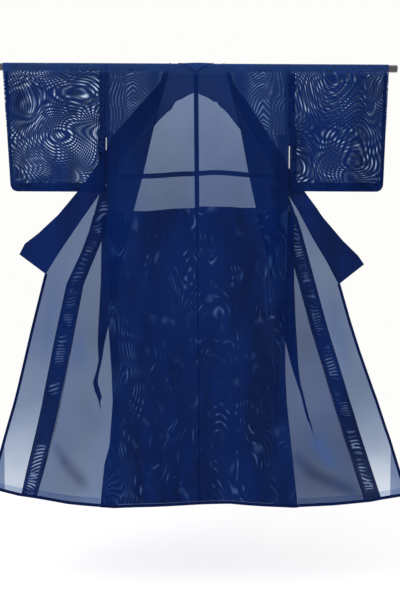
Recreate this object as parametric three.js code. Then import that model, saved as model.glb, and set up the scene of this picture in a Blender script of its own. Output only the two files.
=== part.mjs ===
// A sheer unlined summer kimono hung on a rod through both sleeves, seen from the back: millimetres, +Z up.
// The origin is the middle of the rod's axis. The garment's back faces -Y, and its fronts are swung open on +Y.
import * as THREE from "three";

// ---- driving dimensions, mm ----
const CLOTH = 1.1; // wall thickness
const GAP = 0.3; // between pieces at a seam
const ROD_CLEAR = 0.92; // between the rod and the cloth over it
const ROD_DIAMETER = 25;
const ROD_LENGTH = 1350;
const ROD_SIDES = 24;
const DRAPE_RADIUS = ROD_DIAMETER / 2 + ROD_CLEAR + CLOTH / 2; // mid-wall radius of cloth over the rod
const QUARTER_TURN = (DRAPE_RADIUS * Math.PI) / 2; // cloth length from the ridge to the rod's side
const RIDGE_LEVEL = 14; // top of the cloth over the rod
const HEM_LEVEL = -1500; // nominal hem, before its curve
const HEM_CURVE_FROM = -1100; // the hem's curve fades out above this level
const BACK_DEPTH = -8; // y of the back once it hangs free of the rod
const FRONT_DEPTH = -4; // y of the front panel's first layer there
const HANG_FREE = -420; // level where both reach those depths
const LINING_STEP = 1.6; // a layer that lies on the back is this much behind it
const FLAP_STEP = 1.6; // and a strip on the overlap likewise
const SLEEVE_PINCH = 0.75; // y of each sleeve wall at its closed seams
const SLEEVE_CORNER = 25; // radius of the sleeve's lower outer corner
const CUFF_BOTTOM = -230; // the outer edge is sewn shut below this level
// Lengths over which a sleeve's walls close up: below the rod, at the bottom, the outer edge and below the cuff.
const SLEEVE_FILL = { level: 250, bottom: 55, outer: 45, cuff: 60 };
const SLEEVE_BELLY = 5.5; // y of each sleeve wall between rod and seam
const BINDING_WIDTH = 16;
const BINDING_FROM = -22;
const BINDING_TO = -470;
const TUCK = { height: 17, reach: 300, middle: -350, side: -362 }; // top level, middle and sides
const LINING_TOP = -476;
const ALLOWANCE_EDGE = 272; // inner edge of the side seam allowances, from the centre
const OVERLAP_SEAM_WIDTH = 52;
const OVERLAP_SEAM_TOP = -504;
const NECK_HALF = 60; // half width of the neckline's V at the ridge
const NECK_DROP = 18; // depth of the V below the rod's side
const SWAY = { from: -600, over: 900, depth: 6 }; // long soft folds, from this level to full depth
const SWAY_WAVES = [ // side by side along the garment, mm and shares of the depth
  { length: 47, shift: 0.6, share: 0.55 },
  { length: 103, shift: 2.1, share: 0.75 },
];

// Side seam: x at each level, left and right. The armhole is the stretch above -212.
const SIDE = [
  { z: 20, left: -313.6, right: 307 },
  { z: -206, left: -313.6, right: 307 },
  { z: -222, left: -309, right: 309 },
  { z: -430, left: -308, right: 309 },
  { z: -877, left: -304, right: 303 },
  { z: -1040, left: -293, right: 305 },
  { z: -1140, left: -289, right: 311 },
  { z: -1290, left: -300, right: 328 },
  { z: -1350, left: -317, right: 335 },
  { z: -1500, left: -332, right: 353 },
];
// The front panel is pleated outwards at crease A and back inwards at crease B, which starts at the neck.
// turnA and turnB are how far it turns at each (degrees), radius is the turn's, seam is the overlap's seam.
const LEFT_FRONT = [
  { z: 14, turnA: 0, turnB: 180, radius: 0.85, a: 0, b: 93, seam: 99 },
  { z: -20, turnA: 0, turnB: 180, radius: 0.9, a: 0, b: 102, seam: 109 },
  { z: -133, turnA: 0, turnB: 180, radius: 1.4, a: 0, b: 132, seam: 141 },
  { z: -212, turnA: 0, turnB: 180, radius: 1.8, a: 0, b: 153, seam: 171 },
  { z: -365, turnA: 0, turnB: 180, radius: 2, a: 0, b: 187, seam: 236 },
  { z: -476, turnA: 0, turnB: 180, radius: 2, a: 0, b: 216, seam: 283 },
  { z: -490, turnA: 90, turnB: 180, radius: 2, a: 0, b: 219, seam: 289 },
  { z: -504, turnA: 180, turnB: 180, radius: 2, a: 326, b: 222, seam: 295 },
  { z: -557, turnA: 180, turnB: 180, radius: 2, a: 328, b: 234, seam: 317 },
  { z: -736, turnA: 180, turnB: 180, radius: 2, a: 331, b: 273, seam: 391 },
  { z: -877, turnA: 180, turnB: 180, radius: 2, a: 339, b: 304, seam: 418 },
  { z: -940, turnA: 180, turnB: 180, radius: 2, a: 341, b: 318, seam: 430 },
  { z: -1000, turnA: 180, turnB: 180, radius: 2, a: 338, b: 327, seam: 441 },
  { z: -1040, turnA: 180, turnB: 180, radius: 2, a: 347, b: 336.5, seam: 449 },
  { z: -1075, turnA: 180, turnB: 180, radius: 2, a: 358, b: 342, seam: 456 },
  { z: -1105, turnA: 180, turnB: 180, radius: 1.6, a: 351, b: 333, seam: 462 },
  { z: -1122, turnA: 180, turnB: 180, radius: 1.6, a: 344, b: 328, seam: 465 },
  { z: -1138, turnA: 180, turnB: 180, radius: 1.6, a: 337, b: 325, seam: 468 },
  { z: -1156, turnA: 130, turnB: 130, radius: 1.6, a: 332, b: 328, seam: 471 },
  { z: -1180, turnA: 70, turnB: 70, radius: 2, a: 330, b: 327, seam: 476 },
  { z: -1210, turnA: 30, turnB: 30, radius: 3, a: 332, b: 330, seam: 482 },
  { z: -1240, turnA: 0, turnB: 0, radius: 3, a: 336, b: 334, seam: 488 },
  { z: -1500, turnA: 0, turnB: 0, radius: 3, a: 352, b: 350, seam: 556 },
];
const RIGHT_FRONT = [
  { z: 14, turnA: 0, turnB: 180, radius: 0.85, a: 0, b: 83, seam: 89 },
  { z: -20, turnA: 0, turnB: 180, radius: 0.9, a: 0, b: 95, seam: 102 },
  { z: -133, turnA: 0, turnB: 180, radius: 1.4, a: 0, b: 128, seam: 137 },
  { z: -212, turnA: 0, turnB: 180, radius: 1.8, a: 0, b: 146, seam: 166 },
  { z: -365, turnA: 0, turnB: 180, radius: 2, a: 0, b: 175, seam: 226 },
  { z: -476, turnA: 0, turnB: 180, radius: 2, a: 0, b: 200, seam: 272 },
  { z: -490, turnA: 90, turnB: 180, radius: 2, a: 0, b: 203, seam: 278 },
  { z: -504, turnA: 180, turnB: 180, radius: 2, a: 330, b: 206, seam: 284 },
  { z: -557, turnA: 180, turnB: 180, radius: 2, a: 331, b: 218, seam: 302 },
  { z: -736, turnA: 180, turnB: 180, radius: 2, a: 333, b: 259, seam: 351 },
  { z: -877, turnA: 180, turnB: 180, radius: 2, a: 340, b: 291, seam: 390 },
  { z: -940, turnA: 180, turnB: 180, radius: 2, a: 345, b: 307, seam: 409 },
  { z: -1000, turnA: 180, turnB: 180, radius: 2, a: 349, b: 322, seam: 429 },
  { z: -1040, turnA: 180, turnB: 180, radius: 2, a: 353, b: 334, seam: 441 },
  { z: -1075, turnA: 180, turnB: 180, radius: 2, a: 358, b: 346, seam: 452 },
  { z: -1122, turnA: 180, turnB: 180, radius: 1.6, a: 371, b: 362, seam: 466 },
  { z: -1156, turnA: 180, turnB: 180, radius: 1.6, a: 379, b: 370, seam: 477 },
  { z: -1180, turnA: 180, turnB: 180, radius: 1.6, a: 386, b: 377, seam: 485 },
  { z: -1210, turnA: 180, turnB: 180, radius: 1.6, a: 394, b: 386, seam: 494 },
  { z: -1240, turnA: 130, turnB: 130, radius: 1.6, a: 401, b: 397, seam: 503 },
  { z: -1270, turnA: 70, turnB: 70, radius: 2, a: 408, b: 405, seam: 513 },
  { z: -1300, turnA: 30, turnB: 30, radius: 3, a: 414, b: 412, seam: 523 },
  { z: -1400, turnA: 0, turnB: 0, radius: 3, a: 427, b: 424, seam: 556 },
  { z: -1500, turnA: 0, turnB: 0, radius: 3, a: 440, b: 436, seam: 588 },
];
// Outer edge of the overlap panel: the collar's seam down to the corner, then the free front edge.
const LEFT_OVERLAP = [
  { z: -150, edge: 156 },
  { z: -414, edge: 329 },
  { z: -510, edge: 399 },
  { z: -597, edge: 459 },
  { z: -674, edge: 509 },
  { z: -704, edge: 525 },
  { z: -900, edge: 574 },
  { z: -1138, edge: 630 },
  { z: -1288, edge: 667 },
  { z: -1500, edge: 717 },
];
const RIGHT_OVERLAP = [
  { z: -150, edge: 149 },
  { z: -426, edge: 313 },
  { z: -485, edge: 350 },
  { z: -577, edge: 401 },
  { z: -650, edge: 447 },
  { z: -728, edge: 491 },
  { z: -860, edge: 530 },
  { z: -960, edge: 563 },
  { z: -1132, edge: 626 },
  { z: -1274, edge: 672 },
  { z: -1500, edge: 735 },
];
// Collar strips: the sewn edge and the free edge, from the neck to the end.
const LEFT_COLLAR = [
  { seamX: 104.5, seamZ: 0, freeX: 116, freeZ: 4 },
  { seamX: 113, seamZ: -28, freeX: 128, freeZ: -42 },
  { seamX: 129, seamZ: -85, freeX: 168, freeZ: -88 },
  { seamX: 144, seamZ: -132, freeX: 208, freeZ: -135 },
  { seamX: 217, seamZ: -240, freeX: 284, freeZ: -220 },
  { seamX: 275, seamZ: -328, freeX: 326, freeZ: -308 },
  { seamX: 331, seamZ: -414, freeX: 396, freeZ: -406 },
  { seamX: 401, seamZ: -510, freeX: 478, freeZ: -500 },
  { seamX: 461, seamZ: -597, freeX: 545, freeZ: -563 },
  { seamX: 498, seamZ: -653, freeX: 592, freeZ: -599 },
  { seamX: 526, seamZ: -699, freeX: 611, freeZ: -636 },
];
const RIGHT_COLLAR = [
  { seamX: 96, seamZ: 0, freeX: 107, freeZ: 4 },
  { seamX: 106, seamZ: -28, freeX: 120, freeZ: -49 },
  { seamX: 124, seamZ: -85, freeX: 160, freeZ: -98 },
  { seamX: 140, seamZ: -132, freeX: 200, freeZ: -160 },
  { seamX: 205, seamZ: -241, freeX: 269, freeZ: -268 },
  { seamX: 258, seamZ: -332, freeX: 318, freeZ: -346 },
  { seamX: 315, seamZ: -426, freeX: 380, freeZ: -434 },
  { seamX: 352, seamZ: -485, freeX: 432, freeZ: -506 },
  { seamX: 403, seamZ: -577, freeX: 500, freeZ: -584 },
  { seamX: 449, seamZ: -650, freeX: 552, freeZ: -634 },
  { seamX: 492, seamZ: -729, freeX: 573, freeZ: -664 },
];
// The lower edge of the collar behind the neck, an arch between the two B creases.
const NECK_ARCH = [
  { x: 0, z: -84 },
  { x: 40, z: -96 },
  { x: 78, z: -120 },
  { x: 112, z: -158 },
  { x: 147, z: -200 },
];
// Level of the hem across the garment.
const HEM = [
  { x: -720, z: -1445 },
  { x: -615, z: -1473 },
  { x: -449, z: -1498 },
  { x: -282, z: -1513 },
  { x: -150, z: -1508 },
  { x: 118, z: -1495 },
  { x: 337, z: -1508 },
  { x: 473, z: -1500 },
  { x: 605, z: -1489 },
  { x: 740, z: -1462 },
];
const LEFT_SLEEVE = { armhole: 314.5, slit: 320, topEdge: 662, lowEdge: 640, bottom: -415, slitFrom: -212 };
const RIGHT_SLEEVE = { armhole: 308, slit: 317, topEdge: 645, lowEdge: 634, bottom: -409, slitFrom: -195 };
// Levels of the mesh rows below the rod, closer together where the pleat turns.
const LEVELS = [0, -20, -60, -133, -206, -222, -290, -365, -420, -476, -490, -504, -557, -646, -736, -877,
  -940, -1000, -1040, -1075, -1105, -1122, -1138, -1156, -1180, -1210, -1240, -1270, -1300, -1400, HEM_LEVEL];

// ---- small helpers ----
const clamp01 = (t) => Math.min(1, Math.max(0, t));
const smooth = (t) => clamp01(t) ** 2 * (3 - 2 * clamp01(t));
const lerp = (a, b, t) => a + (b - a) * t;
const steps = (from, to, count) => Array.from({ length: count + 1 }, (_, i) => lerp(from, to, i / count));

// Value of a table's column at a key, straight between its rows.
function lookUp(table, key, column, at) {
  const sign = Math.sign(table[table.length - 1][key] - table[0][key]);
  let i = 1;
  while (i < table.length - 1 && (at - table[i][key]) * sign > 0) i++;
  const t = clamp01((at - table[i - 1][key]) / (table[i][key] - table[i - 1][key]));
  return lerp(table[i - 1][column], table[i][column], t);
}

// Soft upright folds that deepen towards the hem, shared by every layer so that none crosses another.
function sway(x, z) {
  const depth = SWAY.depth * smooth((SWAY.from - z) / SWAY.over);
  return SWAY_WAVES.reduce((sum, wave) => sum + depth * wave.share * Math.sin(x / wave.length + wave.shift), 0);
}

// Actual level for a nominal one, so that every piece ends on the same curved hem.
function onHemCurve(x, z) {
  const t = clamp01((HEM_CURVE_FROM - z) / (HEM_CURVE_FROM - HEM_LEVEL));
  return z + (lookUp(HEM, "x", "z", x) - HEM_LEVEL) * t;
}

// Depth of the wall's middle below the rod on either side: side is -1 on the back, 1 on the fronts.
function hangDepth(side, z, free) {
  return lerp(side * DRAPE_RADIUS, free, smooth(-z / -HANG_FREE));
}

// Point at a cloth length from the ridge: over the rod first, then straight down. lift raises it off the rod.
function drapePoint(side, length, lift, free) {
  if (length < QUARTER_TURN) {
    const angle = Math.PI / 2 - length / DRAPE_RADIUS;
    const radius = DRAPE_RADIUS + lift;
    return { y: side * radius * Math.cos(angle), z: radius * Math.sin(angle) };
  }
  const z = QUARTER_TURN - length;
  return { y: hangDepth(side, z, free) + side * lift, z };
}

// A cloth wall: rows of mid-wall points are thickened along their normals and closed round the rim.
function wall(name, rows, colour, thickness = CLOTH) {
  const countU = rows[0].length;
  const countV = rows.length;
  const mid = rows.flat().map((p) => new THREE.Vector3(...p));
  const id = (v, u) => v * countU + u;
  const normals = mid.map((_, k) => {
    const v = Math.floor(k / countU);
    const u = k % countU;
    const along = mid[id(v, Math.min(u + 1, countU - 1))].clone().sub(mid[id(v, Math.max(u - 1, 0))]);
    const down = mid[id(Math.min(v + 1, countV - 1), u)].clone().sub(mid[id(Math.max(v - 1, 0), u)]);
    return along.cross(down).normalize();
  });
  const front = mid.map((p, k) => p.clone().addScaledVector(normals[k], thickness / 2));
  const back = mid.map((p, k) => p.clone().addScaledVector(normals[k], -thickness / 2));
  const position = [...front, ...back].flatMap((p) => [p.x, p.y, p.z]);
  const behind = mid.length;
  const index = [];
  const quad = (a, b, c, d) => index.push(a, b, c, a, c, d);
  for (let v = 0; v < countV - 1; v++) {
    for (let u = 0; u < countU - 1; u++) {
      const [a, b, c, d] = [id(v, u), id(v, u + 1), id(v + 1, u + 1), id(v + 1, u)];
      quad(a, b, c, d);
      quad(behind + d, behind + c, behind + b, behind + a);
    }
  }
  const rim = [
    ...Array.from({ length: countU - 1 }, (_, u) => [id(0, u + 1), id(0, u)]),
    ...Array.from({ length: countV - 1 }, (_, v) => [id(v + 1, countU - 1), id(v, countU - 1)]),
    ...Array.from({ length: countU - 1 }, (_, u) => [id(countV - 1, u), id(countV - 1, u + 1)]),
    ...Array.from({ length: countV - 1 }, (_, v) => [id(v, 0), id(v + 1, 0)]),
  ];
  for (const [a, b] of rim) quad(a, b, behind + b, behind + a);
  const geometry = new THREE.BufferGeometry();
  geometry.setAttribute("position", new THREE.Float32BufferAttribute(position, 3));
  geometry.setIndex(facingOut(position, index));
  const material = new THREE.MeshStandardMaterial({ color: colour, roughness: 0.6, metalness: 0 });
  const mesh = new THREE.Mesh(geometry, material);
  mesh.name = name;
  return mesh;
}

// Turns every triangle round where the closed surface's signed volume comes out negative.
function facingOut(position, index) {
  const at = (i) => new THREE.Vector3(position[3 * i], position[3 * i + 1], position[3 * i + 2]);
  let volume = 0;
  for (let i = 0; i < index.length; i += 3) {
    volume += at(index[i]).dot(at(index[i + 1]).cross(at(index[i + 2])));
  }
  if (volume > 0) return index;
  const turned = [...index];
  for (let i = 0; i < turned.length; i += 3) [turned[i + 1], turned[i + 2]] = [turned[i + 2], turned[i + 1]];
  return turned;
}

// ---- rod ----
function makeRod() {
  const geometry = new THREE.CylinderGeometry(ROD_DIAMETER / 2, ROD_DIAMETER / 2, ROD_LENGTH, ROD_SIDES);
  const material = new THREE.MeshStandardMaterial({ color: 0x2a2420, roughness: 0.4, metalness: 0 });
  const rod = new THREE.Mesh(geometry, material);
  rod.rotation.z = Math.PI / 2;
  rod.name = "rod";
  return rod;
}

// ---- back panels: from the ridge over the rod down to the hem, with the neckline's V at the centre ----
const GATHERED = 0.01; // rows above the V gather on its edge, this share of their spacing apart
const RIDGE_CLEAR = GAP; // half of the parting between back and front along the ridge
const RIDGE_ROWS = [0, 0.2, 0.4, 0.6, 0.8].map((t) => t * QUARTER_TURN);
// Mesh columns from the centre seam out to the side seam's allowance.
const BACK_COLUMNS = [GAP, 15, 30, 45, 60, 110, 165, 220, ALLOWANCE_EDGE];
const LINING_COLUMNS = [GAP, 30, 60, 110, 165, 220, ALLOWANCE_EDGE];
const CENTRE_LEAN = { top: -8, hem: 12 }; // the seam leans a little: x at the rod and at the hem
const centreSeam = (z) => lerp(CENTRE_LEAN.top, CENTRE_LEAN.hem, clamp01(z / HEM_LEVEL));
const backColumn = (side, d, z) => side * d + centreSeam(z) * (1 - d / ALLOWANCE_EDGE);

function neckCut(x) {
  const fromCentre = Math.abs(x - centreSeam(0)) / NECK_HALF;
  return Math.max(0, (QUARTER_TURN + NECK_DROP) * (1 - fromCentre));
}

function makeBack(side) {
  const name = side < 0 ? "left" : "right";
  const rows = [];
  const lengths = RIDGE_ROWS.concat(LEVELS.map((z) => QUARTER_TURN - z));
  for (const length of lengths) {
    const level = QUARTER_TURN - length;
    const reach = BACK_COLUMNS.map((d) => backColumn(side, d, level)).concat(lookUp(SIDE, "z", name, level));
    rows.push(reach.map((x) => {
      const placed = Math.max(length, neckCut(x) + length * GATHERED, RIDGE_CLEAR);
      const p = drapePoint(-1, placed, 0, BACK_DEPTH);
      return [x, p.y + sway(x, p.z), onHemCurve(x, p.z)];
    }));
  }
  return wall("back_" + name, rows, 0x16264f);
}

// ---- layers that lie behind the back ----
function behindBack(x, z, stepsBehind = 1) {
  return [x, hangDepth(-1, z, BACK_DEPTH) + LINING_STEP * stepsBehind + sway(x, z), onHemCurve(x, z)];
}

function makeBinding() {
  const rows = steps(BINDING_FROM, BINDING_TO, 10).map((z) =>
    [-1, 0, 1].map((u) => behindBack(centreSeam(z) + (u * BINDING_WIDTH) / 2, z)));
  return wall("seam_binding", rows, 0x101c3c);
}

function makeTuck(side) {
  const reach = [BINDING_WIDTH / 2 + GAP, 80, 160, 240, TUCK.reach];
  const name = side < 0 ? "left" : "right";
  const rows = [0, 1].map((v) => reach.map((d) => {
    const z = lerp(TUCK.middle, TUCK.side, d / TUCK.reach) - v * TUCK.height;
    return behindBack(centreSeam(z) + side * d, z);
  }));
  return wall("waist_tuck_" + name, rows, 0x101c3c);
}

function makeLining(side) {
  const name = side < 0 ? "left" : "right";
  const rows = LEVELS.filter((z) => z <= LINING_TOP).map((z) =>
    LINING_COLUMNS.map((d) => behindBack(backColumn(side, d, z) - (d === ALLOWANCE_EDGE ? side * GAP : 0), z)));
  return wall("seat_lining_" + name, rows, 0x16264f);
}

function makeSideAllowance(side) {
  const name = side < 0 ? "left" : "right";
  const rows = LEVELS.filter((z) => z <= LINING_TOP).map((z) =>
    [side * (ALLOWANCE_EDGE + GAP), lookUp(SIDE, "z", name, z) - side].map((x) => behindBack(x, z)));
  return wall("side_seam_" + name, rows, 0x101c3c);
}

// ---- front panels, pleated: a section is walked from the side seam to the overlap's seam ----
const SHORT_LEG = 3; // what is left of a leg while the pleat opens out
const TURN_POINTS = 3;
const FLAT_FOLD = 179; // degrees: a turn past this is folded flat
// Unsewn side under the arm, where the front lies further in. It sets in and out over the last two lengths.
const SIDE_SLIT = { from: -206, to: -490, inset: 10, setIn: 30, setOut: 60 };
const LEAST_STEP = 0.6; // between the points of a turn that has opened flat

function frontSection(side, z) {
  const table = side < 0 ? LEFT_FRONT : RIGHT_FRONT;
  const at = (column) => lookUp(table, "z", column, z);
  const { from: top, to: bottom, setIn, setOut } = SIDE_SLIT;
  const open = Math.min(smooth((top - z) / setIn), smooth((z - bottom) / setOut));
  const from = Math.abs(lookUp(SIDE, "z", side < 0 ? "left" : "right", z)) - SIDE_SLIT.inset * open;
  const radius = at("radius");
  const turnA = THREE.MathUtils.degToRad(at("turnA"));
  const turnB = THREE.MathUtils.degToRad(at("turnB"));
  const folded = at("turnA") > FLAT_FOLD;
  const opening = at("turnB") < FLAT_FOLD; // the pleat opens out towards the hem
  const points = [];
  const pen = { x: from, d: 0, heading: turnB - turnA };
  const walk = (length, count) => {
    for (let i = 1; i <= count; i++) {
      pen.x += (length / count) * Math.cos(pen.heading);
      pen.d += (length / count) * Math.sin(pen.heading);
      points.push([pen.x, pen.d]);
    }
  };
  const turn = (angle) => {
    const chord = Math.max(LEAST_STEP, 2 * radius * Math.sin(Math.abs(angle) / TURN_POINTS / 2));
    for (let i = 0; i < TURN_POINTS; i++) {
      pen.heading += angle / TURN_POINTS / 2;
      pen.x += chord * Math.cos(pen.heading);
      pen.d += chord * Math.sin(pen.heading);
      pen.heading += angle / TURN_POINTS / 2;
      points.push([pen.x, pen.d]);
    }
  };
  points.push([pen.x, pen.d]);
  walk(folded ? at("a") - radius - from : opening ? at("a") - from : SHORT_LEG, 1);
  turn(turnA);
  walk(opening ? SHORT_LEG : pen.x - at("b") - radius, 3);
  turn(-turnB);
  walk(at("seam") - pen.x, 3);
  return points;
}

function seamDepth(side, z) {
  const points = frontSection(side, z);
  return points[points.length - 1][1];
}

function makeFront(side) {
  const name = side < 0 ? "left" : "right";
  const rows = [];
  for (const length of RIDGE_ROWS.map((l) => Math.max(l, RIDGE_CLEAR))) {
    rows.push(frontSection(side, RIDGE_LEVEL).map(([x, d]) => {
      const p = drapePoint(1, length, d, FRONT_DEPTH);
      return [side * x, p.y, p.z];
    }));
  }
  for (const z of LEVELS) {
    rows.push(frontSection(side, z).map(([x, d]) =>
      [side * x, hangDepth(1, z, FRONT_DEPTH) + d + sway(side * x, z), onHemCurve(side * x, z)]));
  }
  return wall("front_" + name, rows, 0x1a2c5a);
}

// ---- overlap panels and collar: beside the body they pass through the slit under the sleeve ----
const SLIT_IN = 301; // where the strip starts to leave the body's layers
const SLIT_OUT = 322;
const SLIT_CLEAR = -420; // the strip keeps its depth down to this level, and is back in line 52 mm below it
const SLIT_BLEND = 52;
const COLLAR_STEP = 32; // mesh rows along the collar
const STRIP_DEPTH = { left: -9.5, right: 9.5 }; // in front of the left sleeve, behind the right one

function overlapDepth(side, x, z) {
  const layer = hangDepth(1, z, FRONT_DEPTH) + seamDepth(side, z);
  const outside = smooth((Math.abs(x) - SLIT_IN) / (SLIT_OUT - SLIT_IN));
  const past = outside * smooth((z - SLIT_CLEAR + SLIT_BLEND) / SLIT_BLEND);
  return lerp(layer, side < 0 ? STRIP_DEPTH.left : STRIP_DEPTH.right, past) + sway(x, z);
}

function makeOverlap(side) {
  const table = side < 0 ? LEFT_OVERLAP : RIGHT_OVERLAP;
  const levels = new Set([-150, -250, -330, -380, -395, -432, -446, -460, ...table.map((row) => row.z)]);
  for (const z of LEVELS) if (z < -150) levels.add(z);
  const rows = [...levels].sort((a, b) => b - a).map((z) => steps(0, 1, 7).map((u) => {
    const seam = lookUp(side < 0 ? LEFT_FRONT : RIGHT_FRONT, "z", "seam", z) + 2 * GAP;
    const x = side * lerp(seam, lookUp(table, "z", "edge", z), u);
    return [x, overlapDepth(side, x, z), onHemCurve(x, z)];
  }));
  return wall("overlap_" + (side < 0 ? "left" : "right"), rows, 0x23386e);
}

function makeOverlapSeam(side) {
  const levels = LEVELS.filter((z) => z <= OVERLAP_SEAM_TOP);
  const rows = levels.map((z) => [0, 0.5, 1].map((u) => {
    const seam = lookUp(side < 0 ? LEFT_FRONT : RIGHT_FRONT, "z", "seam", z) + 2;
    const x = side * (seam + u * OVERLAP_SEAM_WIDTH);
    return [x, overlapDepth(side, x, z) + FLAP_STEP, onHemCurve(x, z)];
  }));
  return wall("overlap_seam_" + (side < 0 ? "left" : "right"), rows, 0x101c3c);
}

function makeCollar(side) {
  const table = side < 0 ? LEFT_COLLAR : RIGHT_COLLAR;
  const rows = [];
  for (let i = 0; i < table.length - 1; i++) {
    const long = Math.hypot(table[i + 1].seamX - table[i].seamX, table[i + 1].seamZ - table[i].seamZ);
    const last = i === table.length - 2;
    for (const t of steps(0, 1, Math.ceil(long / COLLAR_STEP)).slice(0, last ? undefined : -1)) {
      const at = (column) => lerp(table[i][column], table[i + 1][column], t);
      rows.push(steps(0, 1, 7).map((u) => {
        const x = side * lerp(at("seamX") + GAP, at("freeX"), u);
        const z = lerp(at("seamZ") + 2 * GAP, at("freeZ"), u);
        return [x, overlapDepth(side, x, z), z];
      }));
    }
  }
  return wall("collar_" + (side < 0 ? "left" : "right"), rows, 0x101c3c);
}

// ---- collar behind the neck: from the V over the rod, hanging down to the arch ----
const NECK_CLEAR = 1.5; // between the V and the collar's edge
const NECK_INSIDE = 4; // the collar stays this far inside the front's crease B
const NECK_SPREAD = { from: 2, over: 12 }; // cloth length over which it spreads from the V to the creases
const NECK_ARCH_HALF = NECK_ARCH[NECK_ARCH.length - 1].x;
const NECK_ROWS = { back: 9, over: 5, hang: 4 };

function makeNeckCollar() {
  const columns = steps(-1, 1, 8).map((u) => {
    const arch = lookUp(NECK_ARCH, "x", "z", Math.abs(u) * NECK_ARCH_HALF);
    const start = -Math.max(NECK_CLEAR, (QUARTER_TURN + NECK_DROP) * (1 - Math.abs(u)) - NECK_CLEAR);
    const lengths = [
      ...steps(start, 0, NECK_ROWS.back),
      ...steps(0, QUARTER_TURN, NECK_ROWS.over).slice(1),
      ...steps(QUARTER_TURN, QUARTER_TURN - arch, NECK_ROWS.hang).slice(1),
    ];
    return lengths.map((length) => {
      const z = length < QUARTER_TURN - 1 ? RIDGE_LEVEL : QUARTER_TURN - length;
      const crease = lookUp(u < 0 ? LEFT_FRONT : RIGHT_FRONT, "z", "b", z) - NECK_INSIDE;
      const spread = smooth((length - NECK_SPREAD.from) / NECK_SPREAD.over);
      const x = lerp(centreSeam(0) + u * (NECK_HALF - NECK_INSIDE), u * crease, spread);
      const p = drapePoint(length < 0 ? -1 : 1, Math.abs(length), 0, length < 0 ? BACK_DEPTH : FRONT_DEPTH);
      return [x, p.y, p.z];
    });
  });
  const rows = columns[0].map((_, i) => columns.map((column) => column[i]));
  return wall("collar_neck", rows, 0x101c3c);
}

// ---- sleeves: a wall on each side of the rod, closed along the bottom and below the cuff ----
const SLIT_STEP = 14; // the open inner edge steps away from the body over this length
// Mesh columns from the armhole to the cuff, closer together at the outer seam.
const SLEEVE_COLUMNS = [0, 0.15, 0.4, 0.65, 0.85, 0.93, 0.97, 1];

function makeSleeve(side, face) {
  const name = side < 0 ? "left" : "right";
  const size = side < 0 ? LEFT_SLEEVE : RIGHT_SLEEVE;
  const lengths = RIDGE_ROWS.map((l) => Math.max(l, RIDGE_CLEAR));
  const low = [-250, -290, -330, -365, -390, -404, size.bottom];
  const levels = [0, -30, -80, -140, size.slitFrom, size.slitFrom - SLIT_STEP, ...low];
  const sleeveDepth = (x, z) => {
    const reach = Math.abs(x);
    const edge = lerp(size.topEdge, size.lowEdge, z / size.bottom);
    const belly = lerp(DRAPE_RADIUS, SLEEVE_BELLY, smooth(-z / SLEEVE_FILL.level));
    const bottomSeam = smooth((z - size.bottom) / SLEEVE_FILL.bottom);
    const cuff = smooth((z - CUFF_BOTTOM) / SLEEVE_FILL.cuff);
    const outerSeam = Math.max(smooth((edge - reach) / SLEEVE_FILL.outer), cuff);
    return face * lerp(SLEEVE_PINCH, belly, bottomSeam * outerSeam);
  };
  const edges = (z) => ({
    inner: lerp(size.armhole, size.slit, smooth((size.slitFrom - z) / SLIT_STEP)),
    outer: lerp(size.topEdge, size.lowEdge, z / size.bottom),
  });
  const rows = lengths.map((length) => SLEEVE_COLUMNS.map((u) => {
    const { inner, outer } = edges(0);
    const p = drapePoint(face, length, 0, 0);
    return [side * lerp(inner, outer, u), p.y, p.z];
  }));
  for (const level of levels) {
    rows.push(SLEEVE_COLUMNS.map((u) => {
      const { inner, outer } = edges(level);
      const reach = lerp(inner, outer, u);
      const past = Math.max(0, SLEEVE_CORNER - (outer - reach));
      const lift = SLEEVE_CORNER - Math.sqrt(Math.max(0, SLEEVE_CORNER ** 2 - past ** 2));
      const z = level + lift * smooth((size.slitFrom - level) / (size.slitFrom - size.bottom));
      return [side * reach, sleeveDepth(side * reach, z), z];
    }));
  }
  return wall("sleeve_" + name + (face < 0 ? "_back" : "_front"), rows, face < 0 ? 0x16264f : 0x1a2c5a);
}

// ---- the whole ----
const kimono = new THREE.Group();
kimono.add(makeRod(), makeNeckCollar(), makeBinding());
for (const side of [-1, 1]) {
  kimono.add(makeBack(side), makeFront(side), makeOverlap(side), makeOverlapSeam(side), makeCollar(side));
  kimono.add(makeTuck(side), makeLining(side), makeSideAllowance(side));
  kimono.add(makeSleeve(side, -1), makeSleeve(side, 1));
}
export default kimono;
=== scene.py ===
"""A sheer navy summer kimono hung on a rod through its sleeves, back to the viewer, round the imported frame.

Tables and points are in mm, objects in metres. Side -1 is the left one in the picture, side 1 the right.
A sheet is rows of points down the cloth. Depth is y, which grows away from the viewer.
"""

from functools import partial, partialmethod
from math import cos, dist, exp, hypot, pi, radians, sin, sqrt

import bpy
from mathutils import Matrix, Vector


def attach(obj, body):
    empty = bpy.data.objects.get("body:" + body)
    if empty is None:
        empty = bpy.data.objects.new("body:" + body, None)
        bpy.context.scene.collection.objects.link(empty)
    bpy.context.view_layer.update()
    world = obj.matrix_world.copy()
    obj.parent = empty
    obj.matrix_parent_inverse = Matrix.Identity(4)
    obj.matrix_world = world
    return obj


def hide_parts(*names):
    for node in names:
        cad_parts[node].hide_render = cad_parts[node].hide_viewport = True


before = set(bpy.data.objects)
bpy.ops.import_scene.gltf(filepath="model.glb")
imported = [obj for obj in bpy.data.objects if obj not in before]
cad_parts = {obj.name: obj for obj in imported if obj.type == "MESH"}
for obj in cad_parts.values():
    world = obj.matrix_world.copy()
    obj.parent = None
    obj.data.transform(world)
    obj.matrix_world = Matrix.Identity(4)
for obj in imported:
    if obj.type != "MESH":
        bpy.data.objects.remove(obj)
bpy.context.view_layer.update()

MM = 0.001
BODY = "root"
SIDES = {"left": -1, "right": 1}

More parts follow.
